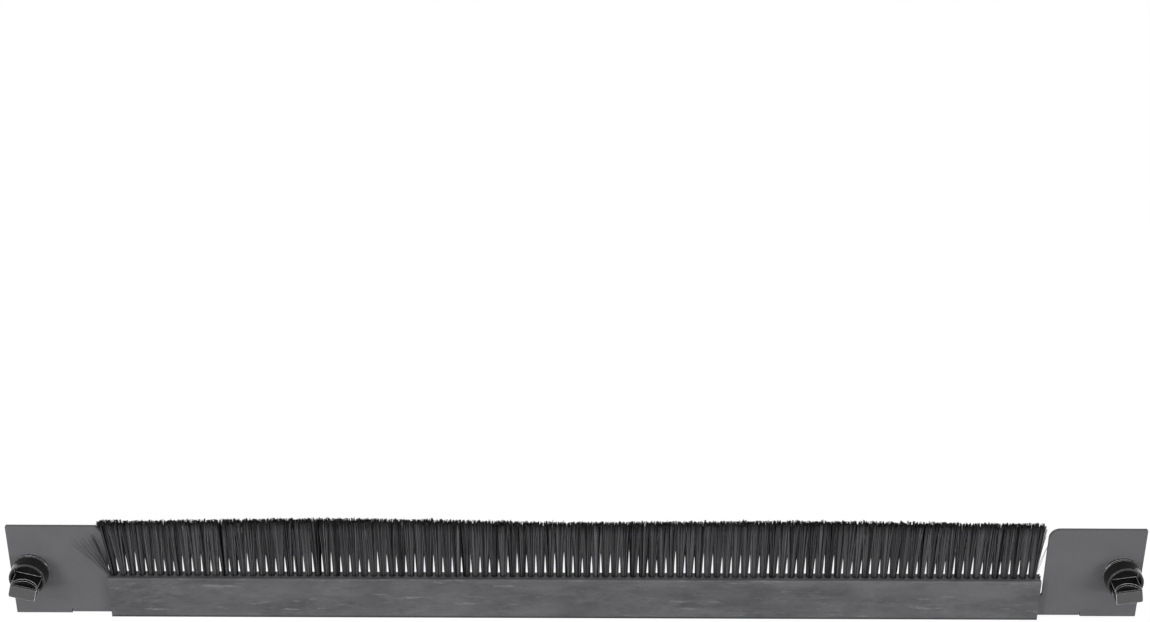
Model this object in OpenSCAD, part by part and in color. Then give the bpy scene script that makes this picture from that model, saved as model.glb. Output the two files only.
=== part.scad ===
// Rack brush strip panel, 19 inch wide and one unit high.
//
// A folded steel plate has a wide notch between two ears. A plastic brush
// holder clips over the web that is left below the notch, and a row of bristle
// tufts stands in the holder's holes. Each ear carries a quarter-turn fastener:
// a plug with four sprung legs behind, and a turn knob in front.
//
// Front is -Y, +X runs along the panel and the bristles point to +Z. The origin
// is the middle of the plate's rear face, which lies against the rack's rails.
// The modules are drawn with the plate's lower edge at z = 0 and its rear face
// at y = 0, and seat() lowers them by half the panel's height.

/* [Plate] */
// Overall width of the plate
panel_w = 482.6; // [470:0.1:490]
// Overall height of the plate
panel_h = 43.6; // [42:0.1:46]
// Thickness of the sheet
sheet_t = 1.5; // [1:0.1:2]
// Width of the notch between the ears
notch_w = 400; // [380:1:404]
// Height of the web that is left below the notch
web_h = 10; // [8.5:0.5:12]
// Corner radius at the foot of the notch
notch_r = 1.6; // [0.5:0.1:1.9]
// Radius on the free inner corner of each ear
ear_r = 4.5; // [1:0.5:8]
// Small radius on the plate's outer corners
corner_r = 0.4; // [0.2:0.1:2]

/* [Return flange] */
// Length of the flange along its fold
flange_len = 434; // [410:1:446]
// Depth of the flange behind the plate's rear face
flange_d = 11; // [6:0.5:16]
// Inside radius of the fold
fold_r = 0.5; // [0.5:0.1:1.5]
// How far the flange and the holder's foot lie below the ears' lower edges
fold_drop = 0.4; // [0:0.1:1]
// Cut-back of the flange's free corners
flange_chamfer = 3.5; // [1:0.5:5]
// Width of the relief slit at each end of the fold
relief_w = 0.4; // [0.3:0.1:3]

/* [Brush holder] */
// Length of the holder
holder_len = 398; // [370:1:399]
// Gap between the left ear and the holder
holder_gap = 0.3; // [0.1:0.1:1]
// Height of the holder
holder_h = 19.5; // [17:0.5:22]
// Thickness of the holder's front leg and its gap to the plate
leg_front = 2.9; // [2.4:0.1:3.5]
// Thickness of the holder's rear leg and its gap to the plate
leg_rear = 2; // [1.6:0.1:2.6]
// Radius on the holder's upper and lower edges
holder_r = 0.8; // [0.3:0.1:1.2]
// Clearance each side of the web, which the grip ribs bridge
grip_gap = 0.3; // [0.2:0.05:0.4]

/* [Bristles] */
// Number of tufts along the holder
tuft_count = 100; // [40:4:100]
// Distance from tuft to tuft
tuft_pitch = 3.963; // [3.8:0.001:3.97]
// Place of the first tuft, from the holder's left end
tuft_first = 2.2; // [2:0.1:2.4]
// Diameter of the tuft holes
tuft_hole_d = 3; // [2.6:0.1:3.2]
// Depth of the tuft holes
tuft_hole_depth = 6; // [4:0.5:7]
// Mean height of the bristle tips above the plate's lower edge
tip_h = 45.8; // [42:0.1:50]
// Height of the long waves along the tips
tip_wave = 0.8; // [0:0.1:2]
// How far the last tufts lean outward at their tips
end_lean = 3.2; // [0:0.1:4]
// Thickness of the brush at its tips, from front to back
tuft_depth = 5.2; // [3:0.1:7]
// Tufts in one node
tufts_per_group = 4; // [4:1:10]

/* [Turn-lock fasteners] */
// Distance between the two fasteners
fix_spacing = 465.1; // [462:0.1:467]
// Side of the square hole in each ear
hole_side = 9; // [8.6:0.1:9.5]
// Side of the square plug behind the plate
plug_side = 8.8; // [8:0.1:9.4]
// Length of the plug's straight part behind the plate
plug_len = 9; // [7:0.5:11]
// Length of the plug's tapered nose
nose_len = 3.4; // [2:0.2:4]
// Width of the slits between the plug's legs
slit_w = 1; // [0.6:0.1:1.4]
// Diameter of the plug's collar on the plate's front
collar_d = 16.2; // [14:0.1:17]
// Thickness of the collar
collar_t = 1.6; // [1.2:0.1:2.4]
// Outer diameter of the knob at its rim
knob_d = 15.4; // [13:0.1:16]
// Height of the knob's rim above the plate's front
rim_h = 7.8; // [7:0.1:11]
// Wall of the knob's cup
cup_wall = 1.2; // [0.8:0.1:2]
// Width of the finger block
block_w = 11.1; // [9:0.1:12]
// Height of the finger block's ridge above the plate's front
block_h = 13.6; // [12.5:0.1:18]
// How far the finger block reaches below the knob's axis
block_drop = 6.2; // [5:0.1:6.2]
// Turn of the left knob, clockwise seen from the front
left_turn = 15; // [-10:1:20]
// Turn of the right knob, anticlockwise seen from the front
right_turn = 9; // [-10:1:20]

/* [Hidden] */
$fn = 48;
eps = 0.01;
// Running clearance, on the radius, between the knob's pin and the plug
run = 0.05;
pin_r = 2;
cam_r = 2.5;
cam_flat = 3.8;
nose_pin_r = 1.5;
seat_gap = 0.05;
anchor_size = [0.5, 3.8, 1.6];
anchor_lift = 0.8;
lean_reach = 5;
ridge_r = 0.45;
rim_r = 0.4;

holder_x0 = -notch_w / 2 + holder_gap;
holder_y0 = -sheet_t - leg_front;
holder_depth = leg_front + sheet_t + leg_rear;
tuft_y = -sheet_t / 2;
hole_floor = holder_h - tuft_hole_depth;
group_count = floor(tuft_count / tufts_per_group);
collar_front = sheet_t + collar_t;
rim_z = sheet_t + rim_h;

function pad(n) = n < 10 ? str("0", n) : str(n);
function group_name(g) = str("brush_tufts_", pad(g));

// A repeatable value between 0 and 1 for tuft k and purpose s
function scatter(k, s) = let (v = sin(k * 127.1 + s * 311.7) * 437.585) v - floor(v);
// Place of tuft k, counted from 0, and of the border to its left
function tuft_x(k) = holder_x0 + tuft_first + k * tuft_pitch;
function border_x(k) = tuft_x(k) - tuft_pitch / 2;
// Sideways lean of border k at the tips: slight waves, and a flare at the right end
function tip_shift(k) =
    let (left = k, right = tuft_count - k)
    min(1, left / lean_reach) * 0.35 * sin(k * 47)
    - 0.3 * max(0, 1 - left / lean_reach)
    + end_lean * pow(max(0, 1 - right / lean_reach), 1.4);
// Height of the tips at a place along the panel
function tip_z(x) =
    let (fade = 0.7 - 0.3 * x / (notch_w / 2))
    tip_h + tip_wave * fade * cos(360 * (x + notch_w * 0.24) / (notch_w * 0.49))
    - x * 0.0015;

// Moves what is drawn from the plate's lower edge to the panel's own frame
module seat() {
    translate([0, 0, -panel_h / 2]) children();
}

// Draws on the front view: 2D x is X, 2D y is Z, and the sheet fills y = -sheet_t to 0
module sheet() {
    rotate([90, 0, 0]) linear_extrude(sheet_t) children();
}

// Draws a section in Y and Z and runs it along X, centred on x = middle
module section(length, middle = 0) {
    translate([middle - length / 2, 0, 0]) rotate([90, 0, 90]) linear_extrude(length) children();
}

// A fastener's own frame: +Z points out of the plate's front, 0 at its rear face
module at_fastener(side, turn = 0) {
    translate([side * fix_spacing / 2, 0, 0]) rotate([90, 0, 0]) rotate([0, 0, turn]) children();
}

// A rectangle from low to high with all four corners round
module soft_rect(low, high, r) {
    translate([low[0] + r, low[1]]) square([high[0] - low[0] - 2 * r, high[1] - low[1]]);
    translate([low[0], low[1] + r]) square([high[0] - low[0], high[1] - low[1] - 2 * r]);
    for (x = [low[0] + r, high[0] - r], y = [low[1] + r, high[1] - r]) translate([x, y]) circle(r);
}

// The notch with round inner corners, and a mouth that rounds the ears' free corners
module notch_shape() {
    half = notch_w / 2;
    soft_rect([-half, web_h], [half, panel_h + 10], notch_r);
    for (side = [-1, 1]) difference() {
        translate([side * (half + ear_r / 2) - ear_r / 2, panel_h - ear_r]) square([ear_r, 2 * ear_r]);
        translate([side * (half + ear_r), panel_h - ear_r]) circle(ear_r);
    }
}

// Slits that part the ends of the fold from the ears
module relief_shape() {
    depth = fold_r + sheet_t - fold_drop + 0.4;
    for (side = [-1, 1]) translate([side * (flange_len + relief_w) / 2, 0]) {
        translate([-relief_w / 2, -1]) square([relief_w, depth + 1 - relief_w / 2]);
        translate([0, depth - relief_w / 2]) circle(relief_w / 2);
    }
}

module plate_face() {
    difference() {
        soft_rect([-panel_w / 2, 0], [panel_w / 2, panel_h], corner_r);
        notch_shape();
        relief_shape();
        // the flange takes over below the fold line
        translate([-flange_len / 2 - eps, -1]) square([flange_len + 2 * eps, fold_r + sheet_t - fold_drop + 1]);
        for (side = [-1, 1]) translate([side * fix_spacing / 2, panel_h / 2])
            soft_rect([-hole_side / 2, -hole_side / 2], [hole_side / 2, hole_side / 2], 0.2);
    }
}

// Section of the fold and the flange behind it
module fold_section() {
    outer = fold_r + sheet_t;
    translate([fold_r, outer - fold_drop]) intersection() {
        difference() {
            circle(outer);
            circle(fold_r);
        }
        translate([-outer, -outer]) square(outer);
    }
    translate([fold_r - eps, -fold_drop]) square([flange_d - fold_r + eps, sheet_t]);
}

module panel_plate() {
    color([0.30, 0.30, 0.32]) seat() {
        sheet() plate_face();
        difference() {
            section(flange_len) fold_section();
            for (side = [-1, 1]) translate([side * flange_len / 2, flange_d, sheet_t / 2 - fold_drop])
                rotate([0, 0, 45]) cube([flange_chamfer * sqrt(2), flange_chamfer * sqrt(2), 4], center = true);
        }
    }
}

// The holder's section: solid above the web, a leg down each side of the plate
module holder_section() {
    slot_y0 = -sheet_t - grip_gap;
    slot_w = sheet_t + 2 * grip_gap;
    rear_foot = sheet_t + fold_r - fold_drop + 0.5;
    rib_r = 0.6;
    difference() {
        soft_rect([holder_y0, -fold_drop], [leg_rear, holder_h], holder_r);
        // slot for the web, with a lead-in at its mouth
        translate([slot_y0, -2]) square([slot_w, web_h + 2]);
        translate([0, -fold_drop])
            polygon([[slot_y0 - 0.5, -eps], [slot_y0 + slot_w + 0.5, -eps], [slot_y0 + slot_w / 2, 2.5]]);
        // the rear leg stops short of the flange
        translate([slot_y0 + slot_w / 2, -2]) square([leg_rear + sheet_t + 2, rear_foot + 2]);
    }
    // ribs that grip the web
    for (z = [4.4, 7.4]) {
        translate([slot_y0, z]) rib_bump(rib_r, 1);
        translate([slot_y0 + slot_w, z]) rib_bump(rib_r, -1);
    }
}

// A low round bump that rises grip_gap from the slot's wall towards dir
module rib_bump(r, dir) {
    intersection() {
        translate([dir * (grip_gap - r), 0]) circle(r);
        translate([dir > 0 ? -0.2 : -1, -1]) square([1.2, 2]);
    }
}

module anchor_block(k, grow = 0) {
    translate([tuft_x(k), tuft_y, hole_floor + anchor_lift + anchor_size[2] / 2])
        cube([anchor_size[0] + grow, anchor_size[1] + grow, anchor_size[2] + grow], center = true);
}

module brush_holder() {
    color([0.27, 0.27, 0.28]) seat() difference() {
        section(holder_len, holder_x0 + holder_len / 2) holder_section();
        for (k = [0:tuft_count - 1]) {
            translate([tuft_x(k), tuft_y, hole_floor]) cylinder(d = tuft_hole_d, h = tuft_hole_depth + 1, $fn = 24);
            anchor_block(k);
        }
        // the holder is cut off through its next hole
        translate([tuft_x(tuft_count), tuft_y, hole_floor])
            cylinder(d = tuft_hole_d, h = tuft_hole_depth + 1, $fn = 24);
        // room for the round corners at the foot of the notch
        for (x = [-notch_w / 2, notch_w / 2]) translate([x, -sheet_t / 2, web_h + notch_r / 2])
            cube([2 * notch_r + 0.1, sheet_t + 2 * grip_gap, notch_r + 0.2], center = true);
    }
}

module tuft_anchors() {
    color([0.7, 0.7, 0.7]) seat() for (k = [0:tuft_count - 1]) anchor_block(k);
}

// Side borders and ragged tips of tuft k, in X and Z
module tuft_outline(k) {
    clear = 0.02;
    z0 = holder_h - 1;
    z1 = tip_z(tuft_x(k));
    rise = z1 - z0;
    left = [border_x(k) + clear, border_x(k) + clear + tip_shift(k)];
    right = [border_x(k + 1) - clear, border_x(k + 1) - clear + tip_shift(k + 1)];
    tips = [for (i = [0:4]) let (
        share = i / 4,
        dz = (scatter(k, i) - 0.5) * 1.3 - (i == 0 || i == 4 ? 0.5 : 0),
        up = (rise + dz) / rise,
        xl = left[0] + (left[1] - left[0]) * up,
        xr = right[0] + (right[1] - right[0]) * up
    ) [xl + (xr - xl) * share, z1 + dz]];
    polygon(concat([[right[0], z0], [left[0], z0]], tips));
}

// A tuft: a foot folded round its anchor, then a fan that meets its neighbours higher up
module tuft(k) {
    foot_r = tuft_hole_d / 2 - 0.02;
    tip_r = 3.1 + 0.7 * scatter(k, 9);
    lean = atan((tip_shift(k) + tip_shift(k + 1)) / 2 / (tip_h - holder_h));
    difference() {
        union() {
            translate([tuft_x(k), tuft_y, hole_floor]) cylinder(r = foot_r, h = tuft_hole_depth, $fn = 24);
            intersection() {
                translate([tuft_x(k), tuft_y, holder_h - 0.3]) rotate([0, lean, 0])
                    cylinder(r1 = foot_r - 0.15, r2 = tip_r, h = tip_h - holder_h + 4, $fn = 24);
                translate([0, tuft_y + tuft_depth / 2, 0]) rotate([90, 0, 0])
                    linear_extrude(tuft_depth) tuft_outline(k);
            }
        }
        anchor_block(k);
    }
}

module brush_tufts(g) {
    first = (g - 1) * tufts_per_group;
    last = g == group_count ? tuft_count - 1 : first + tufts_per_group - 1;
    color([0.13, 0.13, 0.14]) seat() for (k = [first:last]) tuft(k);
}

// Half outline of the plug, from the plate's front face back to its nose
function plug_profile(half, nose_half) =
    let (
        barb = 0.2,
        grooves = 3,
        step = 1.5,
        start = -3.4,
        edge = [for (i = [0:grooves - 1], j = [0:2])
            [half - (j == 1 ? 0.35 : 0), start - i * step - j * 0.4]]
    )
    concat(
        [[0, sheet_t + 0.5], [half, sheet_t + 0.5], [half, 0], [half + barb, 0], [half + barb, -0.9], [half, -2.6]],
        edge,
        [[half, -plug_len], [nose_half, -plug_len - nose_len], [0, -plug_len - nose_len]]
    );

module plug_bar(half, nose_half) {
    points = plug_profile(half, nose_half);
    mirrored = [for (i = [len(points) - 2:-1:1]) [-points[i][0], points[i][1]]];
    rotate([90, 0, 0]) linear_extrude(plug_side + 2, center = true) polygon(concat(points, mirrored));
}

// Collar, square plug and four legs split by an X, bored for the knob's pin
module plug() {
    half = plug_side / 2;
    nose_half = 2.1;
    difference() {
        union() {
            intersection() {
                plug_bar(half, nose_half);
                rotate([0, 0, 90]) plug_bar(half, nose_half);
            }
            rotate_extrude() polygon([
                [0, sheet_t], [collar_d / 2, sheet_t], [collar_d / 2, collar_front - 0.5],
                [collar_d / 2 - 0.5, collar_front], [0, collar_front]
            ]);
        }
        // neck, cam room and nose bore for the pin
        translate([0, 0, 0]) cylinder(r = pin_r + run, h = collar_front + 1);
        translate([0, 0, -plug_len]) cylinder(r = cam_r + run, h = plug_len + 0.6);
        translate([0, 0, -plug_len - nose_len - 1]) cylinder(r = nose_pin_r + run, h = nose_len + 1.5);
        // slits that part the legs
        for (a = [45, 135]) rotate([0, 0, a])
            translate([-plug_side, -slit_w / 2, -plug_len - nose_len - 1])
            cube([2 * plug_side, slit_w, plug_len + nose_len - 0.2]);
    }
}

module left_plug() {
    color([0.07, 0.07, 0.08]) at_fastener(-1) plug();
}

module right_plug() {
    color([0.07, 0.07, 0.08]) at_fastener(1) plug();
}

// Side view of the finger block: flat top on the axis, round ridge, front face that leans out
module block_profile() {
    top_z = sheet_t + block_h;
    lean_out = 0.5;
    foot_r = 1.4;
    lean = atan(lean_out / block_drop);
    // from the ridge's corner to where its round edge begins
    t = ridge_r * tan(45 - lean / 2);
    difference() {
        union() {
            polygon([
                [collar_front + 2, 0], [top_z - t, 0], [top_z + t * sin(lean), -t * cos(lean)],
                [top_z + lean_out, -block_drop], [collar_front + 2, -block_drop]
            ]);
            translate([top_z - t, -ridge_r]) circle(ridge_r);
        }
        translate([top_z + lean_out - foot_r, -block_drop]) difference() {
            square([2 * foot_r, foot_r]);
            translate([0, foot_r]) circle(foot_r);
        }
    }
}

// Front outline of the finger block: its lower corners are round
module block_front() {
    r = 1.8;
    soft_rect([-block_w / 2, -block_drop], [block_w / 2, block_drop], r);
}

module finger_block() {
    root_z = collar_front + 1;
    intersection() {
        rotate([0, -90, 0]) linear_extrude(block_w + 1, center = true) block_profile();
        linear_extrude(40) block_front();
    }
    // root that fills the lower half of the cup
    translate([0, 0, root_z]) linear_extrude(rim_z - 0.9 - root_z) intersection() {
        circle(d = knob_d - 0.4);
        translate([-block_w / 2, -knob_d]) square([block_w, knob_d]);
    }
}

// Half section of the knob's cup, with round edges on its rim
module cup_section(base_z, base_r, floor_z, inner_r) {
    outer_r = knob_d / 2;
    polygon([
        [0, base_z], [base_r - 0.3, base_z], [base_r, base_z + 0.3], [outer_r, rim_z - rim_r],
        [inner_r, rim_z - rim_r], [inner_r - 0.2, floor_z], [0, floor_z]
    ]);
    translate([inner_r + rim_r, rim_z - 2 * rim_r]) square([outer_r - inner_r - 2 * rim_r, 2 * rim_r]);
    for (r = [inner_r + rim_r, outer_r - rim_r]) translate([r, rim_z - rim_r]) circle(rim_r);
}

// Cup with a finger block in its lower half, on the pin that turns in the plug
module knob() {
    base_z = collar_front + seat_gap;
    floor_z = base_z + 1.8;
    inner_r = knob_d / 2 - cup_wall;
    base_r = knob_d / 2 + 0.25;
    scoop_r = block_w / 2 - 0.3;
    scoop_depth = 1.1;
    lip = 0.9;
    difference() {
        union() {
            rotate_extrude() cup_section(base_z, base_r, floor_z, inner_r);
            finger_block();
        }
        // thumb scoop in the block's flat top, behind its ridge
        intersection() {
            translate([0, 0, sheet_t + block_h - lip]) rotate([90, 0, 0])
                cylinder(r = scoop_r, h = 2 * scoop_depth, center = true);
            translate([-block_w, -scoop_depth, 0])
                cube([2 * block_w, 2 * scoop_depth, sheet_t + block_h - lip]);
        }
    }
    // pin: round neck, cam with two flats, and a nose that shows between the legs
    translate([0, 0, 0.6 - seat_gap - eps]) cylinder(r = pin_r, h = base_z - 0.6 + seat_gap + 0.1);
    intersection() {
        translate([0, 0, -plug_len + 0.6]) cylinder(r = cam_r, h = plug_len - seat_gap);
        cube([cam_flat, 4 * cam_r, 4 * plug_len], center = true);
    }
    translate([0, 0, -plug_len - nose_len + 0.1]) cylinder(r = nose_pin_r, h = nose_len + 1);
}

module left_knob() {
    color([0.06, 0.06, 0.07]) at_fastener(-1, -left_turn) knob();
}

module right_knob() {
    color([0.06, 0.06, 0.07]) at_fastener(1, right_turn) knob();
}

panel_plate();
brush_holder();
tuft_anchors();
for (g = [1:group_count]) brush_tufts(g);
left_plug();
right_plug();
left_knob();
right_knob();
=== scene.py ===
"""Look of the rack brush strip panel.

The CAD model gives every rigid piece its shape. This script gives the pieces
their finishes, grows the loose bristles of the brush in place of its plain CAD
tufts, and sets the floor, the lamps and the camera. It is laid out as an add-on
and is run as a script.
"""
import math

import bmesh
import bpy
import numpy as np
from mathutils import Matrix, Vector


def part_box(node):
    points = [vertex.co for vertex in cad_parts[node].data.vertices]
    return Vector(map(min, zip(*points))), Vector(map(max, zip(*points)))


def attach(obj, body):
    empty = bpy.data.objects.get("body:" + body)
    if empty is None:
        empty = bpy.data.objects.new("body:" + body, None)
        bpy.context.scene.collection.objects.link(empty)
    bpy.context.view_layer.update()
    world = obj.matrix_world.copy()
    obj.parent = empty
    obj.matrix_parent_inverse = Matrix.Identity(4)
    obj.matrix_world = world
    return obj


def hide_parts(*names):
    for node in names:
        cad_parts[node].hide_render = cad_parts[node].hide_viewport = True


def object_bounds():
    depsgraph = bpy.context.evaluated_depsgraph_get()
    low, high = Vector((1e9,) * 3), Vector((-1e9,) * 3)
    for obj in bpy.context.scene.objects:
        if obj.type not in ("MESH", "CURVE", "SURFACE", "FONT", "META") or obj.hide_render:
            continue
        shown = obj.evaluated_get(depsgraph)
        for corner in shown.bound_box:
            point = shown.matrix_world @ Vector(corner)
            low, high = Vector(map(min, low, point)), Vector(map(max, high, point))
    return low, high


bl_info = {
    "name": "Rack brush strip panel",
    "version": (1, 0, 0),
    "blender": (4, 5, 0),
    "location": "View3D > Sidebar > Brush panel",
    "description": "Finishes, loose bristles and studio for a rack brush strip panel",
    "category": "Object",
}

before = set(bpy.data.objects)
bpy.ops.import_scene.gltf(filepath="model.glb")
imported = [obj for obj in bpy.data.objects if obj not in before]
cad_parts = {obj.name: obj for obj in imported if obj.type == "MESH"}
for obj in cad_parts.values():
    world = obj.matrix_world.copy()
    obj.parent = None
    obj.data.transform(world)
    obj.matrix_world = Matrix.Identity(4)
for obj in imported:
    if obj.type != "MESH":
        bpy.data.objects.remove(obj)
CAD_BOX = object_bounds()

MM = 0.001
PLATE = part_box("panel_plate")
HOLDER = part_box("brush_holder")
TUFT_NODES = sorted(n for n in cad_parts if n.startswith("brush_tufts_"))
TUFTS_PER_NODE = 4
TUFT_COUNT = TUFTS_PER_NODE * len(TUFT_NODES)
SHEET = 1.5 * MM
EAR_HEIGHT = 43.6 * MM


# ---------------------------------------------------------------- properties


class BrushSizes(bpy.types.PropertyGroup):
    """Sizes of the loose bristles"""

    pitch: bpy.props.FloatProperty(
        name="Tuft pitch", description="Distance from tuft to tuft",
        default=3.963 * MM, unit="LENGTH", precision=5,
    )
    first: bpy.props.FloatProperty(
        name="First tuft", description="Place of the first tuft from the holder's left end",
        default=2.2 * MM, unit="LENGTH", precision=5,
    )
    root_radius: bpy.props.FloatProperty(
        name="Root radius", description="Radius of a tuft where it leaves its hole", default=1.46 * MM,
        unit="LENGTH", precision=5,
    )
    fan_x: bpy.props.FloatProperty(
        name="Fan along the panel", description="How far a tuft's outermost fibres spread at the tips",
        default=1.25 * MM, unit="LENGTH", precision=5,
    )
    fan_y: bpy.props.FloatProperty(
        name="Fan front to back",
        description="How far the fibres spread to the front and the back at the tips",
        default=0.8 * MM, unit="LENGTH", precision=5,
    )
    fibres: bpy.props.IntProperty(
        name="Fibres", description="Fibres in one tuft", default=280, min=20, max=300
    )
    clumps: bpy.props.IntProperty(
        name="Clumps", description="Small clumps that the fibres of a tuft gather in",
        default=60, min=1, max=80,
    )
    fibre_radius: bpy.props.FloatProperty(
        name="Fibre radius", description="Radius of one fibre", default=0.11 * MM, unit="LENGTH", precision=6
    )
    tip_height: bpy.props.FloatProperty(
        name="Tip height", description="Mean height of the tips above the ears' lower edges",
        default=45.7 * MM, unit="LENGTH", precision=5,
    )
    tip_wave: bpy.props.FloatProperty(
        name="Tip wave", description="Height of the long waves along the tips", default=0.8 * MM,
        unit="LENGTH", precision=5,
    )
    seed: bpy.props.IntProperty(name="Seed", description="Start of the random numbers", default=19, min=0)


class FinishColours(bpy.types.PropertyGroup):
    """Colours of the finishes"""

    coat: bpy.props.FloatVectorProperty(
        name="Powder coat", description="Colour of the plate's powder coat", subtype="COLOR", size=4,
        default=(0.129, 0.128, 0.136, 1.0), min=0, max=1,
    )
    holder: bpy.props.FloatVectorProperty(
        name="Holder plastic", description="Colour of the brush holder", subtype="COLOR", size=4,
        default=(0.104, 0.104, 0.110, 1.0), min=0, max=1,
    )
    scuff: bpy.props.FloatVectorProperty(
        name="Scuffs", description="Colour of rubbed places on the holder", subtype="COLOR", size=4,
        default=(0.17, 0.17, 0.175, 1.0), min=0, max=1,
    )
    fibre_dark: bpy.props.FloatVectorProperty(
        name="Dark fibres", description="Colour of the darkest fibres", subtype="COLOR", size=4,
        default=(0.003, 0.003, 0.0035, 1.0), min=0, max=1,
    )
    fibre_pale: bpy.props.FloatVectorProperty(
        name="Pale fibres", description="Colour of the palest fibres", subtype="COLOR", size=4,
        default=(0.175, 0.172, 0.182, 1.0), min=0, max=1,
    )
    knob: bpy.props.FloatVectorProperty(
        name="Fastener plastic", description="Colour of the fasteners", subtype="COLOR", size=4,
        default=(0.009, 0.009, 0.0095, 1.0), min=0, max=1,
    )
    # Painted highlight: the fasteners' sharp edges are painted in this light colour in place of real
    # highlights, not worn bright.
    knob_edge_highlight: bpy.props.FloatVectorProperty(
        name="Fastener edges", description="Colour of the rubbed edges of the fasteners",
        subtype="COLOR", size=4, default=(0.85, 0.85, 0.86, 1.0), min=0, max=1,
    )


class StudioSettings(bpy.types.PropertyGroup):
    """Camera and lamps"""

    camera_place: bpy.props.FloatVectorProperty(
        name="Camera place", description="Place of the camera", subtype="TRANSLATION", unit="LENGTH",
        default=(-0.0002, -0.6821, 0.455),
    )
    camera_pitch: bpy.props.FloatProperty(
        name="Pitch", description="How far the camera looks down", subtype="ANGLE",
        default=math.radians(25.946),
    )
    camera_yaw: bpy.props.FloatProperty(
        name="Yaw", description="How far the camera looks to the right", subtype="ANGLE",
        default=math.radians(-0.055),
    )
    camera_roll: bpy.props.FloatProperty(
        name="Roll", description="How far the camera leans", subtype="ANGLE", default=math.radians(0.179)
    )
    lens: bpy.props.FloatProperty(name="Lens", description="Focal length in millimetres", default=59.48)
    front_power: bpy.props.FloatProperty(
        name="Front power", description="Power of the wide soft lamp in front", default=4.5, unit="POWER"
    )
    side_power: bpy.props.FloatProperty(
        name="Side power", description="Power of each of the two soft lamps at the sides",
        default=4.2, unit="POWER",
    )
    strip_power: bpy.props.FloatProperty(
        name="Strip power", description="Power of the long narrow lamp above", default=2.0, unit="POWER"
    )
    spot_power: bpy.props.FloatProperty(
        name="Spot power", description="Power of the small lamp at the upper left", default=1.0, unit="POWER"
    )
    sky: bpy.props.FloatProperty(name="Sky", description="Strength of the even light all round", default=0.35)
    floor_glow: bpy.props.FloatProperty(
        name="Floor glow", description="Light that the floor adds where the camera sees it", default=0.92
    )


# ---------------------------------------------------------------- materials


def new_material(name):
    """An empty node material with a Principled shader; returns material, nodes, links and shader."""
    material = bpy.data.materials.new(name)
    material.use_nodes = True
    nodes, links = material.node_tree.nodes, material.node_tree.links
    nodes.clear()
    out = nodes.new("ShaderNodeOutputMaterial")
    shader = nodes.new("ShaderNodeBsdfPrincipled")
    links.new(shader.outputs["BSDF"], out.inputs["Surface"])
    return material, nodes, links, shader


def noise(nodes, links, scale, detail=4.0, rough=0.55, stretch=(1, 1, 1)):
    """Noise on Object coordinates; stretch below 1 draws the pattern out along that axis."""
    coords = nodes.new("ShaderNodeTexCoord")
    mapping = nodes.new("ShaderNodeMapping")
    mapping.inputs["Scale"].default_value = stretch
    texture = nodes.new("ShaderNodeTexNoise")
    texture.inputs["Scale"].default_value = scale
    texture.inputs["Detail"].default_value = detail
    texture.inputs["Roughness"].default_value = rough
    links.new(coords.outputs["Object"], mapping.inputs["Vector"])
    links.new(mapping.outputs["Vector"], texture.inputs["Vector"])
    return texture.outputs["Fac"]


def ramp(nodes, links, value, stops):
    """Colour ramp through (position, colour) stops."""
    node = nodes.new("ShaderNodeValToRGB")
    node.color_ramp.elements[0].position, node.color_ramp.elements[0].color = stops[0]
    node.color_ramp.elements[1].position, node.color_ramp.elements[1].color = stops[-1]
    for position, colour in stops[1:-1]:
        node.color_ramp.elements.new(position).color = colour
    links.new(value, node.inputs["Fac"])
    return node.outputs["Color"]


def bump(nodes, links, height, strength, distance, under=None):
    """Bump from a height value, on top of another bump if one is given."""
    node = nodes.new("ShaderNodeBump")
    node.inputs["Strength"].default_value = strength
    node.inputs["Distance"].default_value = distance
    links.new(height, node.inputs["Height"])
    if under is not None:
        links.new(under, node.inputs["Normal"])
    return node.outputs["Normal"]


def mix_colour(nodes, links, factor, a, b):
    """Mixes two colours, each a socket or a plain colour, by a factor socket."""
    node = nodes.new("ShaderNodeMix")
    node.data_type = "RGBA"
    links.new(factor, node.inputs["Factor"])
    for socket, value in ((node.inputs[6], a), (node.inputs[7], b)):
        if isinstance(value, bpy.types.NodeSocket):
            links.new(value, socket)
        else:
            socket.default_value = value
    return node.outputs[2]


def shaded(colour, gain):
    """The colour, lighter or darker."""
    return tuple(min(1.0, c * gain) for c in colour[:3]) + (1.0,)


def powder_coat(colour):
    """Dark grey fine-textured powder coat: tiny orange-peel bumps and faint mottling."""
    material, nodes, links, shader = new_material("powder_coat")
    mottle = noise(nodes, links, 60, 5)
    tone = ramp(nodes, links, mottle, [(0.3, shaded(colour, 0.93)), (0.7, shaded(colour, 1.07))])
    links.new(tone, shader.inputs["Base Color"])
    grain = noise(nodes, links, 1800, 3, 0.6)
    links.new(bump(nodes, links, grain, 0.35, 0.0002), shader.inputs["Normal"])
    shader.inputs["Roughness"].default_value = 0.6
    shader.inputs["Specular IOR Level"].default_value = 0.25
    return material


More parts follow.
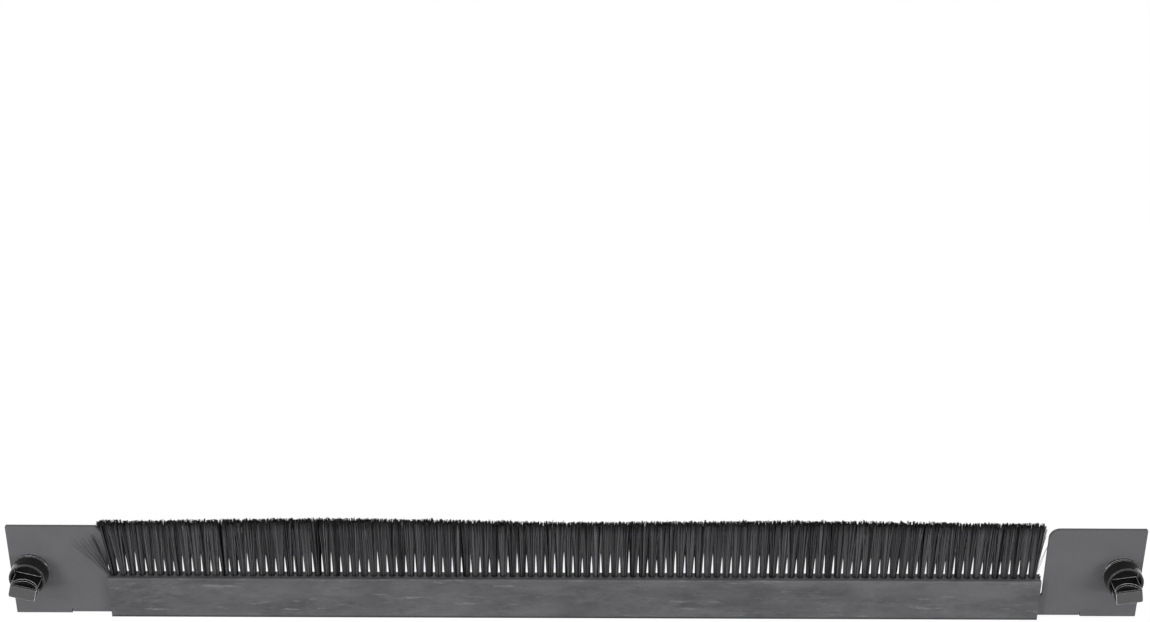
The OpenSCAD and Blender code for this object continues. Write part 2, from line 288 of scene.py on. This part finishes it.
def holder_plastic(colour, scuff):
    """Dark grey plastic: cloudy smears drawn out along it, short pale scuffs, and a painted shade along its
    lower edge.
    """
    material, nodes, links, shader = new_material("holder_plastic")
    cloud = noise(nodes, links, 90, 6, 0.65, (0.4, 1, 1))
    tone = ramp(nodes, links, cloud, [(0.36, shaded(colour, 0.72)), (0.64, shaded(colour, 1.24))])
    smear = noise(nodes, links, 170, 6, 0.75, (0.3, 1, 1))
    patches = ramp(nodes, links, smear, [(0.5, (0, 0, 0, 1)), (0.68, (1, 1, 1, 1))])
    tone = mix_colour(nodes, links, patches, tone, shaded(scuff, 0.85))
    scratch = noise(nodes, links, 420, 4, 0.75, (0.12, 1, 1))
    lines = ramp(nodes, links, scratch, [(0.6, (0, 0, 0, 1)), (0.7, (1, 1, 1, 1))])
    tone = mix_colour(nodes, links, lines, tone, shaded(scuff, 1.15))
    # Painted shade: the colour darkens to three tenths of itself over the lowest 0.8 mm of the holder and
    # fades back in by 1.5 mm.
    coords = nodes.new("ShaderNodeTexCoord")
    split = nodes.new("ShaderNodeSeparateXYZ")
    links.new(coords.outputs["Object"], split.inputs[0])
    rise = nodes.new("ShaderNodeMapRange")
    links.new(split.outputs["Z"], rise.inputs["Value"])
    rise.inputs["From Min"].default_value = HOLDER[0].z + 0.8 * MM
    rise.inputs["From Max"].default_value = HOLDER[0].z + 1.5 * MM
    tone = mix_colour(nodes, links, rise.outputs["Result"], shaded(colour, 0.3), tone)
    links.new(tone, shader.inputs["Base Color"])
    grain = noise(nodes, links, 900, 4, 0.6)
    links.new(bump(nodes, links, grain, 0.2, 0.0002), shader.inputs["Normal"])
    shader.inputs["Roughness"].default_value = 0.55
    shader.inputs["Specular IOR Level"].default_value = 0.3
    return material


def fibre_finish(dark, pale):
    """Black synthetic fibres; a per-point tone attribute makes each one a little darker or paler and carries
    painted shade at the roots and towards the tips.
    """
    material, nodes, links, shader = new_material("bristle_fibre")
    tone = nodes.new("ShaderNodeAttribute")
    tone.attribute_name = "fibre_tone_and_painted_shade"
    colour = ramp(nodes, links, tone.outputs["Fac"], [(0.0, dark), (1.0, pale)])
    links.new(colour, shader.inputs["Base Color"])
    shader.inputs["Roughness"].default_value = 0.45
    shine = nodes.new("ShaderNodeMapRange")
    links.new(tone.outputs["Fac"], shine.inputs["Value"])
    shine.inputs["From Max"].default_value = 0.3
    shine.inputs["To Max"].default_value = 0.25
    links.new(shine.outputs["Result"], shader.inputs["Specular IOR Level"])
    return material


def edge_mask(nodes, links, radius, low, high):
    """1 on edges sharper than the radius, 0 on flat faces.

    It measures how far the rounded normal turns from the true one.
    """
    round_normal = nodes.new("ShaderNodeBevel")
    round_normal.samples = 6
    round_normal.inputs["Radius"].default_value = radius
    geometry = nodes.new("ShaderNodeNewGeometry")
    dot = nodes.new("ShaderNodeVectorMath")
    dot.operation = "DOT_PRODUCT"
    links.new(round_normal.outputs["Normal"], dot.inputs[0])
    links.new(geometry.outputs["True Normal"], dot.inputs[1])
    return ramp(nodes, links, dot.outputs["Value"], [(low, (1, 1, 1, 1)), (high, (0, 0, 0, 1))])


def front_mask(nodes, links, near, far):
    """1 on faces that look to the front and lie further forward than far, 0 behind near and on all others."""
    coords = nodes.new("ShaderNodeTexCoord")
    place = nodes.new("ShaderNodeSeparateXYZ")
    links.new(coords.outputs["Object"], place.inputs[0])
    forward = nodes.new("ShaderNodeMapRange")
    links.new(place.outputs["Y"], forward.inputs["Value"])
    forward.inputs["From Min"].default_value = -near
    forward.inputs["From Max"].default_value = -far
    geometry = nodes.new("ShaderNodeNewGeometry")
    facing = nodes.new("ShaderNodeSeparateXYZ")
    links.new(geometry.outputs["True Normal"], facing.inputs[0])
    frontal = nodes.new("ShaderNodeMapRange")
    links.new(facing.outputs["Y"], frontal.inputs["Value"])
    frontal.inputs["From Min"].default_value = -0.75
    frontal.inputs["From Max"].default_value = -0.95
    both = nodes.new("ShaderNodeMath")
    both.operation = "MULTIPLY"
    links.new(forward.outputs["Result"], both.inputs[0])
    links.new(frontal.outputs["Result"], both.inputs[1])
    return both.outputs[0]


def fastener_plastic(colour, edge):
    """Glossy black moulded plastic, a little dusty.

    Its sharp edges carry a painted highlight in a light colour, and its front faces that lie furthest forward
    carry a painted sheen.
    """
    material, nodes, links, shader = new_material("fastener_plastic")
    dust = noise(nodes, links, 700, 4)
    tone = ramp(nodes, links, dust, [(0.35, shaded(colour, 0.7)), (0.75, shaded(colour, 1.8))])
    # Painted reflection: faces that look to the front and lie 9.5 to 12 mm forward are painted lighter, at
    # 0.09 of the edge colour.
    painted_front_sheen = front_mask(nodes, links, 9.5 * MM, 12 * MM)
    tone = mix_colour(nodes, links, painted_front_sheen, tone, shaded(edge, 0.09))
    # Painted highlight: edges sharper than 0.5 mm are painted in the light edge colour.
    rubbed = edge_mask(nodes, links, 0.5 * MM, 0.86, 0.975)
    links.new(mix_colour(nodes, links, rubbed, tone, edge), shader.inputs["Base Color"])
    wave = noise(nodes, links, 140, 2)
    links.new(bump(nodes, links, wave, 0.12, 0.0006), shader.inputs["Normal"])
    shader.inputs["Roughness"].default_value = 0.2
    shader.inputs["Specular IOR Level"].default_value = 0.45
    return material


def anchor_steel():
    """Dull steel of the hidden tuft anchors."""
    material, nodes, links, shader = new_material("anchor_steel")
    grain = noise(nodes, links, 900, 3, 0.5, (1, 0.1, 1))
    tone = ramp(nodes, links, grain, [(0.2, (0.4, 0.4, 0.4, 1)), (0.8, (0.6, 0.6, 0.6, 1))])
    links.new(tone, shader.inputs["Base Color"])
    shader.inputs["Metallic"].default_value = 1.0
    shader.inputs["Roughness"].default_value = 0.4
    return material


def dress(node, material):
    """Puts a material on a CAD node."""
    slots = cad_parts[node].data.materials
    slots.clear()
    slots.append(material)


# ---------------------------------------------------------------- bristles


def tip_level(x, sizes):
    """Height of the tips over x: a mean height, long waves that fade to the right, and a slight fall."""
    half = (PLATE[1].x - PLATE[0].x) / 2 * 0.829
    fade = 0.7 - 0.3 * x / half
    wave = np.cos(2 * np.pi * (x + half * 0.48) / (half * 0.98))
    return PLATE[1].z - EAR_HEIGHT + sizes.tip_height + sizes.tip_wave * fade * wave - x * 0.0015


def tuft_lean(k):
    """Sideways lean of a tuft at its tips: slight waves, and a flare towards each end."""
    reach = 3.2
    left, right = k / reach, (TUFT_COUNT - 1 - k) / reach
    lean = 0.16 * np.sin(np.radians(k * 47)) * min(1.0, left, right)
    lean -= 2.4 * max(0.0, 1 - left) ** 1.1
    lean += 0.3 * max(0.0, 1 - right)
    return lean * MM


def smooth(value, low, high):
    """0 below low, 1 above high and an S-curve between."""
    t = np.clip((value - low) / (high - low), 0, 1)
    return t * t * (3 - 2 * t)


def fibre_tubes(paths, radii, tones, name):
    """Closed three-sided tubes along many paths at once.

    paths is fibres x rings x 3, and radii and tones are fibres x rings. Each ring is three
    points at 120 degrees round its path point, level with the floor. Neighbouring rings are
    joined by quads, and the first and last ring of each fibre close with a triangle.
    """
    count, rings = paths.shape[:2]
    turn = np.arange(count)[:, None, None] * 2.4 + np.arange(3) * (2 * np.pi / 3)
    ring = np.stack([np.cos(turn), np.sin(turn), np.zeros_like(turn)], -1)
    points = paths[:, :, None, :] + ring * radii[:, :, None, None]
    start = (np.arange(count) * rings * 3)[:, None, None]
    level = (np.arange(rings - 1) * 3)[None, :, None]
    side = np.arange(3)[None, None, :]
    following = (side + 1) % 3
    corners = [level + side, level + following, level + 3 + following, level + 3 + side]
    quads = np.stack([start + corner for corner in corners], -1).reshape(-1, 4)
    first = start[:, 0, 0][:, None]
    feet = first + np.array([2, 1, 0])
    tips = first + (rings - 1) * 3 + np.array([0, 1, 2])
    mesh = bpy.data.meshes.new(name)
    mesh.from_pydata(points.reshape(-1, 3), [], quads.tolist() + feet.tolist() + tips.tolist())
    tone = mesh.attributes.new("fibre_tone_and_painted_shade", "FLOAT", "POINT")
    tone.data.foreach_set("value", np.repeat(tones.ravel(), 3).astype(np.float32))
    mesh.update()
    return mesh


def joined(first, second, name):
    """One mesh from two that both carry fibre_tone_and_painted_shade."""
    build = bmesh.new()
    build.from_mesh(first)
    build.from_mesh(second)
    mesh = bpy.data.meshes.new(name)
    build.to_mesh(mesh)
    build.free()
    for old in (first, second):
        bpy.data.meshes.remove(old)
    return mesh


def beside_ear(paths):
    """Keeps fibres off the left ear: below its round corner they stop at its inner edge."""
    edge, top, corner = -200.0 * MM, PLATE[1].z, 4.5 * MM
    rise = np.clip(paths[..., 2] - (top - corner), 0, corner)
    limit = edge - corner + np.sqrt(corner**2 - rise**2) + 0.15 * MM
    limit = np.where(paths[..., 2] > top, -1.0, limit)
    paths[..., 0] = np.maximum(paths[..., 0], limit)
    return paths


def tuft_paths(k, sizes, rng):
    """Paths, radii and tones of one tuft's fibres.

    Each fibre starts at a random point of the root disc. Its tip lies further out along the
    same direction, in a rounded square, so neighbouring tufts close up to an even wall. The
    fibres belong to small clumps: those of a clump share a tone, a length and a drift at the
    tips, and draw a little together there.
    """
    count = sizes.fibres
    angle = rng.uniform(0, 2 * np.pi, count)
    disc = np.sqrt(rng.uniform(0, 1, count))[:, None] * np.stack([np.cos(angle), np.sin(angle)], -1)
    square = disc / (np.abs(disc).max(axis=1) / np.linalg.norm(disc, axis=1))[:, None]
    middles = rng.uniform(-1, 1, (sizes.clumps, 2))
    clump = np.argmin(np.linalg.norm(square[:, None] - middles[None], axis=2), axis=1)
    drift = rng.normal(0, 0.12, (sizes.clumps, 2)) * MM
    length = rng.normal(0, 0.26, sizes.clumps) * MM
    shade = rng.normal(0, 0.16, sizes.clumps) + rng.normal(0, 0.02)
    x0 = HOLDER[0].x + sizes.first + k * sizes.pitch
    y0 = -SHEET / 2
    z0 = HOLDER[1].z - 0.6 * MM
    spread = sizes.root_radius + np.array([sizes.fan_x, sizes.fan_y]) * rng.uniform(0.85, 1.15)
    tip = (square * 0.7 + middles[clump] * 0.3) * spread + drift[clump] + rng.normal(0, 0.1, (count, 2)) * MM
    tip_x = x0 + tip[:, 0] + tuft_lean(k) + rng.normal(0, 0.1) * MM
    tip_y = y0 + tip[:, 1]
    tip_z = tip_level(tip_x, sizes) + length[clump] + rng.normal(0, 0.12, count) * MM
    root_x = x0 + disc[:, 0] * sizes.root_radius
    root_y = y0 + disc[:, 1] * sizes.root_radius
    root = np.stack([root_x, root_y, np.full(count, z0)], -1)
    end = np.stack([tip_x, tip_y, tip_z], -1)
    t = np.array([0, 0.08, 0.3, 0.6, 0.85, 1])
    curve = (t**1.15)[None, :, None]
    paths = root[:, None] * (1 - curve) + end[:, None] * curve
    paths[..., 2] = z0 + (tip_z[:, None] - z0) * t
    bow = rng.normal(0, 0.09, (count, 1, 3)) * np.array([1, 1, 0]) * MM
    paths += bow * np.sin(np.pi * t**1.8)[None, :, None]
    radii = sizes.fibre_radius * (1 - 0.2 * t)[None, :] * np.ones((count, 1))
    tones = np.clip(0.42 + shade[clump] + rng.normal(0, 0.24, count), 0, 1)[:, None] * np.ones((1, len(t)))
    # Painted shade: the fibres are black up to 1.2 mm above their roots, where they enter their holes, and
    # fade to their own tone by 2.6 mm.
    tones = tones * smooth(paths[..., 2], z0 + 1.2 * MM, z0 + 2.6 * MM)
    # Painted shade: the fibres darken by up to six tenths over their last 4 mm towards the tips.
    tones = tones * (1 - 0.6 * smooth(paths[..., 2], tip_z[:, None] - 4 * MM, tip_z[:, None] - 0.3 * MM))
    return beside_ear(paths), radii, tones


def stray_paths(roots, tips, sag, sizes, rng):
    """Paths, radii and tones of single strays, each an arc from its root to its tip that hangs by sag."""
    rings = 8
    t = np.linspace(0, 1, rings)[None, :, None]
    paths = roots[:, None] * (1 - t) + tips[:, None] * t + sag[:, None] * np.sin(np.pi * t)
    radii = sizes.fibre_radius * np.linspace(1, 0.7, rings)[None, :] * np.ones((len(roots), 1))
    tones = rng.uniform(0.1, 0.5, len(roots))[:, None] * np.ones((1, rings))
    return paths, radii, tones


def left_strays(sizes, rng):
    """Loose fibres of the first tuft that fan out to the left in front of the ear."""
    count = 22
    x0, top = HOLDER[0].x + sizes.first, HOLDER[1].z
    share = np.concatenate([rng.uniform(0, 0.08, count // 2), np.linspace(0.15, 1, count - count // 2)])
    angle = np.radians(14 + 28 * share)
    reach = rng.uniform(18, 24, count) * MM
    roots = np.stack([
        x0 - rng.uniform(0.6, 1.4, count) * MM, PLATE[0].y + rng.uniform(-1.1, -0.3, count) * MM,
        np.full(count, top - 0.4 * MM),
    ], -1)
    tips = roots + np.stack([
        -reach * np.sin(angle), rng.uniform(-1.4, -0.2, count) * MM, reach * np.cos(angle)
    ], -1)
    sag = np.stack([
        rng.uniform(-0.3, 0.5, count), rng.uniform(-0.6, 0, count), rng.uniform(-0.2, 0.6, count)
    ], -1) * MM
    return stray_paths(roots, tips, sag, sizes, rng)


def flare_strays(sizes, rng):
    """Curled tips of the first tuft that lie out over the ear's round corner."""
    count = 26
    roots = np.stack([
        np.full(count, -199.6 * MM) + rng.uniform(0, 1.2, count) * MM, rng.uniform(-2.4, 0.6, count) * MM,
        PLATE[1].z - rng.uniform(4.6, 7.6, count) * MM,
    ], -1)
    tips = roots + np.stack([
        -rng.uniform(0.6, 4.0, count), rng.uniform(-0.8, 0.4, count), rng.uniform(6.0, 8.0, count)
    ], -1) * MM
    sag = np.stack([rng.uniform(0.2, 0.8, count), np.zeros(count), np.zeros(count)], -1) * MM
    return stray_paths(roots, tips, sag, sizes, rng)


def right_strays(sizes, rng):
    """A few fibres of the last tuft that lean out further than the rest, and the stub of a cut tuft."""
    x1 = HOLDER[0].x + sizes.first + (TUFT_COUNT - 1) * sizes.pitch
    top = HOLDER[1].z
    roots = np.array([
        [x1 + 1.0 * MM, -2.0 * MM, top], [x1 + 1.2 * MM, -1.2 * MM, top], [x1 + 1.2 * MM, -0.4 * MM, top],
    ])
    tips = roots + np.array([[3.2, -0.6, 16.0], [3.9, -0.4, 18.0], [3.0, 0.4, 20.0]]) * MM
    sag = np.array([[-0.5, 0, 0], [0.2, 0, 0], [-0.2, 0, 0]]) * MM
    whole = stray_paths(roots, tips, sag, sizes, rng)
    count = 40
    angle = rng.uniform(np.pi / 2, 3 * np.pi / 2, count)
    reach = rng.uniform(0.75, 1.0, count) * 1.35 * MM
    feet_x = x1 + sizes.pitch + reach * np.cos(angle)
    feet_y = -SHEET / 2 + reach * np.sin(angle)
    feet = np.stack([feet_x, feet_y, np.full(count, top - 1 * MM)], -1)
    ends = feet + np.stack([
        rng.uniform(-0.1, 0.3, count), rng.normal(0, 0.15, count), rng.uniform(1.6, 2.4, count)
    ], -1) * MM
    keep = feet[:, 0] < HOLDER[1].x - 0.1 * MM
    stub = stray_paths(feet[keep], ends[keep], np.zeros((keep.sum(), 3)), sizes, rng)
    return tuple(np.concatenate(pair) for pair in zip(whole, stub))


def strays_of(g, sizes, rng):
    """The loose fibres that go with group g, or none."""
    if g == 0:
        return [left_strays(sizes, rng), flare_strays(sizes, rng)]
    if g == len(TUFT_NODES) - 1:
        return [right_strays(sizes, rng)]
    return []


def shown_piece(name, mesh, material, body):
    """Links a mesh as a piece at the origin that rides on a body."""
    piece = bpy.data.objects.new(name, mesh)
    bpy.context.scene.collection.objects.link(piece)
    piece.data.materials.append(material)
    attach(piece, body)
    return piece


# ---------------------------------------------------------------- operators


class BRUSHPANEL_OT_plate(bpy.types.Operator):
    """Powder coats the folded plate"""

    bl_idname = "brushpanel.plate"
    bl_label = "Finish the plate"

    def execute(self, context):
        dress("panel_plate", powder_coat(context.scene.brush_panel_colours.coat))
        return {"FINISHED"}


class BRUSHPANEL_OT_holder(bpy.types.Operator):
    """Gives the brush holder and its hidden anchors their finish"""

    bl_idname = "brushpanel.holder"
    bl_label = "Finish the holder"

    def execute(self, context):
        colours = context.scene.brush_panel_colours
        dress("brush_holder", holder_plastic(colours.holder, colours.scuff))
        dress("tuft_anchors", anchor_steel())
        return {"FINISHED"}


class BRUSHPANEL_OT_fasteners(bpy.types.Operator):
    """Gives the plugs and the turn knobs their glossy plastic"""

    bl_idname = "brushpanel.fasteners"
    bl_label = "Finish the fasteners"

    def execute(self, context):
        colours = context.scene.brush_panel_colours
        plastic = fastener_plastic(colours.knob, colours.knob_edge_highlight)
        for node in ("left_plug", "right_plug", "left_knob", "right_knob"):
            dress(node, plastic)
        return {"FINISHED"}


class BRUSHPANEL_OT_bristles(bpy.types.Operator):
    """Grows the loose bristles in place of the plain tufts"""

    bl_idname = "brushpanel.bristles"
    bl_label = "Grow the bristles"

    def execute(self, context):
        sizes = context.scene.brush_panel_sizes
        colours = context.scene.brush_panel_colours
        finish = fibre_finish(colours.fibre_dark, colours.fibre_pale)
        for g, node in enumerate(TUFT_NODES):
            rng = np.random.default_rng(sizes.seed + g)
            tufts = [tuft_paths(g * TUFTS_PER_NODE + i, sizes, rng) for i in range(TUFTS_PER_NODE)]
            mesh = fibre_tubes(*(np.concatenate(part) for part in zip(*tufts)), node + "_bristles")
            for strays in strays_of(g, sizes, rng):
                mesh = joined(mesh, fibre_tubes(*strays, "strays"), node + "_bristles")
            piece = shown_piece(node + "_bristles", mesh, finish, "panel")
            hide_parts(node)
        return {"FINISHED"}


class BRUSHPANEL_OT_stage(bpy.types.Operator):
    """Sets the floor, the lamps, the sky and the camera"""

    bl_idname = "brushpanel.stage"
    bl_label = "Set the stage"

    def execute(self, context):
        studio = context.scene.brush_panel_studio
        make_floor(CAD_BOX[0].z, studio.floor_glow)
        make_sky(studio.sky)
        make_lamp("front_lamp", (0, -1.3, 0.1), (0, 0, 0), (1.2, 0.4), studio.front_power)
        for side in (-1, 1):
            make_lamp("side_lamp", (0.8 * side, -0.75, 0.06), (0, 0, 0), (0.5, 0.4), studio.side_power)
        make_lamp("strip_lamp", (0, -0.5, 0.85), (0, 0, 0), (1.6, 0.06), studio.strip_power)
        make_lamp("spot_lamp", (-0.75, -0.7, 0.45), (0, 0, 0), (0.1, 0.1), studio.spot_power)
        make_camera(studio)
        return {"FINISHED"}


def make_floor(level, glow_strength):
    """A wide pale floor that reads as white to the camera and in glossy pieces, and keeps soft shadows."""
    size = 6.0
    mesh = bpy.data.meshes.new("floor")
    corners = [(-size, -size, level), (size, -size, level), (size, size, level), (-size, size, level)]
    mesh.from_pydata(corners, [], [(0, 1, 2, 3)])
    floor = bpy.data.objects.new("floor", mesh)
    bpy.context.scene.collection.objects.link(floor)
    material, nodes, links, shader = new_material("pale_floor")
    speck = noise(nodes, links, 3, 2)
    tone = ramp(nodes, links, speck, [(0, (0.17, 0.17, 0.17, 1)), (1, (0.19, 0.19, 0.19, 1))])
    links.new(tone, shader.inputs["Base Color"])
    shader.inputs["Roughness"].default_value = 0.9
    shader.inputs["Specular IOR Level"].default_value = 0.1
    glow = nodes.new("ShaderNodeEmission")
    path = nodes.new("ShaderNodeLightPath")
    seen = nodes.new("ShaderNodeMath")
    seen.operation = "ADD"
    links.new(path.outputs["Is Camera Ray"], seen.inputs[0])
    links.new(path.outputs["Is Glossy Ray"], seen.inputs[1])
    lift = nodes.new("ShaderNodeMath")
    lift.operation = "MULTIPLY"
    links.new(seen.outputs[0], lift.inputs[0])
    lift.inputs[1].default_value = glow_strength
    links.new(lift.outputs[0], glow.inputs["Strength"])
    both = nodes.new("ShaderNodeAddShader")
    links.new(shader.outputs[0], both.inputs[0])
    links.new(glow.outputs[0], both.inputs[1])
    out = next(n for n in nodes if n.type == "OUTPUT_MATERIAL")
    links.new(both.outputs[0], out.inputs["Surface"])
    mesh.materials.append(material)


def make_sky(strength):
    """Even white light all round, which the camera and glossy pieces see as white."""
    world = bpy.data.worlds.new("studio_sky")
    bpy.context.scene.world = world
    world.use_nodes = True
    nodes, links = world.node_tree.nodes, world.node_tree.links
    nodes.clear()
    out = nodes.new("ShaderNodeOutputWorld")
    seen, lit = nodes.new("ShaderNodeBackground"), nodes.new("ShaderNodeBackground")
    seen.inputs["Strength"].default_value = 1.0
    seen.inputs["Color"].default_value = (1, 1, 1, 1)
    lit.inputs["Strength"].default_value = strength
    lit.inputs["Color"].default_value = (1, 1, 1, 1)
    path = nodes.new("ShaderNodeLightPath")
    either = nodes.new("ShaderNodeMath")
    either.operation = "MAXIMUM"
    links.new(path.outputs["Is Camera Ray"], either.inputs[0])
    links.new(path.outputs["Is Glossy Ray"], either.inputs[1])
    mix = nodes.new("ShaderNodeMixShader")
    links.new(either.outputs[0], mix.inputs["Fac"])
    links.new(lit.outputs[0], mix.inputs[1])
    links.new(seen.outputs[0], mix.inputs[2])
    links.new(mix.outputs[0], out.inputs["Surface"])


def make_lamp(name, place, target, size, power):
    """A flat soft lamp, wide and high as size says, that faces its target."""
    data = bpy.data.lights.new(name, "AREA")
    data.shape, data.energy = "RECTANGLE", power
    data.size, data.size_y = size
    lamp = bpy.data.objects.new(name, data)
    lamp.location = place
    lamp.rotation_euler = (Vector(target) - Vector(place)).to_track_quat("-Z", "Y").to_euler()
    bpy.context.scene.collection.objects.link(lamp)
    return lamp


def make_camera(studio):
    """A camera at its place, turned by yaw, then pitch, then roll."""
    data = bpy.data.cameras.new("camera")
    data.lens = studio.lens
    data.sensor_width = 36.0
    data.clip_start, data.clip_end = 0.01, 20.0
    camera = bpy.data.objects.new("camera", data)
    turn = Matrix.Rotation(-studio.camera_yaw, 4, "Z")
    turn @= Matrix.Rotation(math.pi / 2 - studio.camera_pitch, 4, "X")
    turn @= Matrix.Rotation(studio.camera_roll, 4, "Z")
    camera.matrix_world = Matrix.Translation(studio.camera_place) @ turn
    bpy.context.scene.collection.objects.link(camera)
    bpy.context.scene.camera = camera


# ---------------------------------------------------------------- sidebar


class BRUSHPANEL_PT_sidebar(bpy.types.Panel):
    """Lists the steps that dress the brush panel"""

    bl_label = "Brush panel"
    bl_idname = "BRUSHPANEL_PT_sidebar"
    bl_space_type = "VIEW_3D"
    bl_region_type = "UI"
    bl_category = "Brush panel"

    def draw(self, context):
        for step in STEPS:
            self.layout.operator(step.bl_idname)
        for group in ("brush_panel_sizes", "brush_panel_colours", "brush_panel_studio"):
            box = self.layout.box()
            settings = getattr(context.scene, group)
            for name in settings.bl_rna.properties.keys():
                if name not in {"rna_type", "name"}:
                    box.prop(settings, name)


STEPS = (
    BRUSHPANEL_OT_plate,
    BRUSHPANEL_OT_holder,
    BRUSHPANEL_OT_fasteners,
    BRUSHPANEL_OT_bristles,
    BRUSHPANEL_OT_stage,
)
GROUPS = {
    "brush_panel_sizes": BrushSizes,
    "brush_panel_colours": FinishColours,
    "brush_panel_studio": StudioSettings,
}


def register():
    """Registers the classes and hangs the property groups on the scene."""
    for cls in (*GROUPS.values(), *STEPS, BRUSHPANEL_PT_sidebar):
        bpy.utils.register_class(cls)
    for name, cls in GROUPS.items():
        setattr(bpy.types.Scene, name, bpy.props.PointerProperty(type=cls))


def unregister():
    """Takes everything off again."""
    for name in GROUPS:
        delattr(bpy.types.Scene, name)
    for cls in (BRUSHPANEL_PT_sidebar, *reversed(STEPS), *reversed(list(GROUPS.values()))):
        bpy.utils.unregister_class(cls)


def main():
    register()
    bpy.context.scene.view_settings.view_transform = "Standard"
    bpy.ops.brushpanel.plate()
    bpy.ops.brushpanel.holder()
    bpy.ops.brushpanel.fasteners()
    bpy.ops.brushpanel.bristles()
    bpy.ops.brushpanel.stage()


if __name__ == "__main__":
    main()
